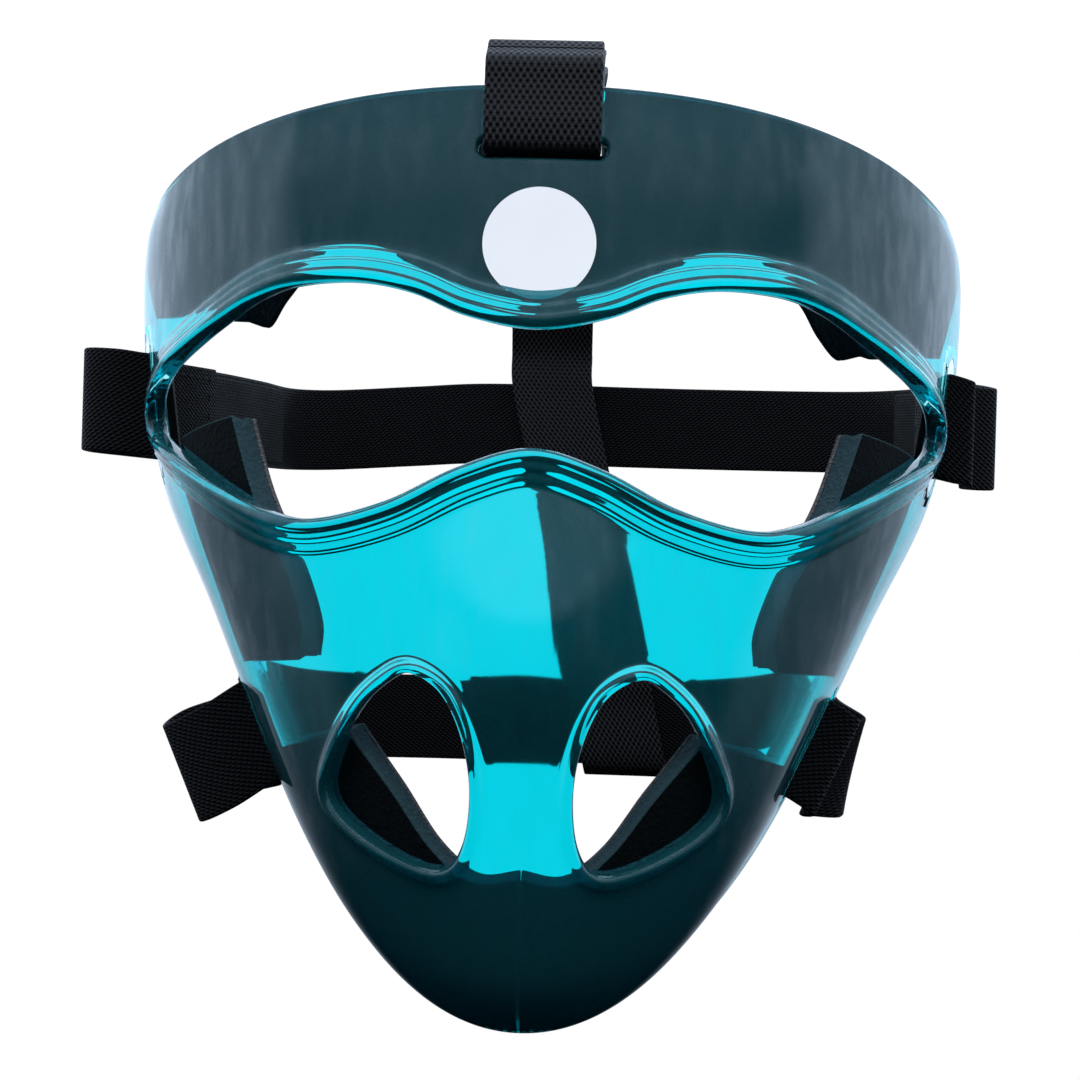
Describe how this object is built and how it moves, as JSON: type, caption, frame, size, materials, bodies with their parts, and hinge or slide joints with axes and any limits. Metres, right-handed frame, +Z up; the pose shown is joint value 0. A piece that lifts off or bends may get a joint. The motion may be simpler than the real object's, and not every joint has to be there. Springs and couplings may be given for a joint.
{
  "type": "face guard",
  "caption": "Clear moulded face guard with an eye opening, mouth vents, foam pads and an elastic and webbing head harness.",
  "frame": {"origin": "middle of the inner face of the forehead pad's liner, where the guard rests on the head", "axes": "+Z up, -Y the way the wearer looks, +X to the wearer's left"},
  "size_m": [0.2245, 0.2126, 0.23],
  "materials": {
    "polycarbonate": "clear tinted gloss",
    "foam": "matt foam",
    "liner": "brushed fabric",
    "elastic": "ribbed elastic",
    "webbing": "coarse woven webbing",
    "loop_tape": "looped pile tape",
    "hook_tape": "hooked tape"
  },
  "bodies": {
    "guard": {"shell": "polycarbonate", "forehead_pad_foam": "foam", "forehead_pad_liner": "liner", "left_cheek_pad_foam": "foam", "left_cheek_pad_liner": "liner", "left_jaw_pad_foam": "foam", "left_jaw_pad_liner": "liner", "right_cheek_pad_foam": "foam", "right_cheek_pad_liner": "liner", "right_jaw_pad_foam": "foam", "right_jaw_pad_liner": "liner", "upper_band": "elastic", "upper_left_loop_tape": "loop_tape", "upper_right_loop_tape": "loop_tape", "lower_band": "elastic", "lower_left_loop_tape": "loop_tape", "lower_right_loop_tape": "loop_tape", "crown_strap": "webbing", "crown_loop_tape": "loop_tape", "band_keeper": "webbing"},
    "upper_left_tail": {"upper_left_tail": "elastic", "upper_left_hook_tape": "hook_tape"},
    "upper_right_tail": {"upper_right_tail": "elastic", "upper_right_hook_tape": "hook_tape"},
    "lower_left_tail": {"lower_left_tail": "elastic", "lower_left_hook_tape": "hook_tape"},
    "lower_right_tail": {"lower_right_tail": "elastic", "lower_right_hook_tape": "hook_tape"},
    "crown_tail": {"crown_tail": "webbing", "crown_hook_tape": "hook_tape"}
  },
  "joints": [
    {"name": "upper_left_tail_peel", "type": "hinge", "parent": "guard", "child": "upper_left_tail", "pos_m": [0.09121, 0.04829, -0.0411], "axis": [0.157, 0.0855, 0.9839], "range_deg": [0, 80]},
    {"name": "upper_right_tail_peel", "type": "hinge", "parent": "guard", "child": "upper_right_tail", "pos_m": [-0.09121, 0.04829, -0.0411], "axis": [0.157, -0.0855, -0.9839], "range_deg": [0, 80]},
    {"name": "lower_left_tail_peel", "type": "hinge", "parent": "guard", "child": "lower_left_tail", "pos_m": [0.06017, 0.0351, -0.11683], "axis": [0.43, 0.1698, 0.8867], "range_deg": [0, 80]},
    {"name": "lower_right_tail_peel", "type": "hinge", "parent": "guard", "child": "lower_right_tail", "pos_m": [-0.06017, 0.0351, -0.11683], "axis": [0.43, -0.1698, -0.8867], "range_deg": [0, 80]},
    {"name": "crown_tail_peel", "type": "hinge", "parent": "guard", "child": "crown_tail", "pos_m": [0, -0.00611, 0.03334], "axis": [1, 0, 0], "range_deg": [0, 120]}
  ]
}
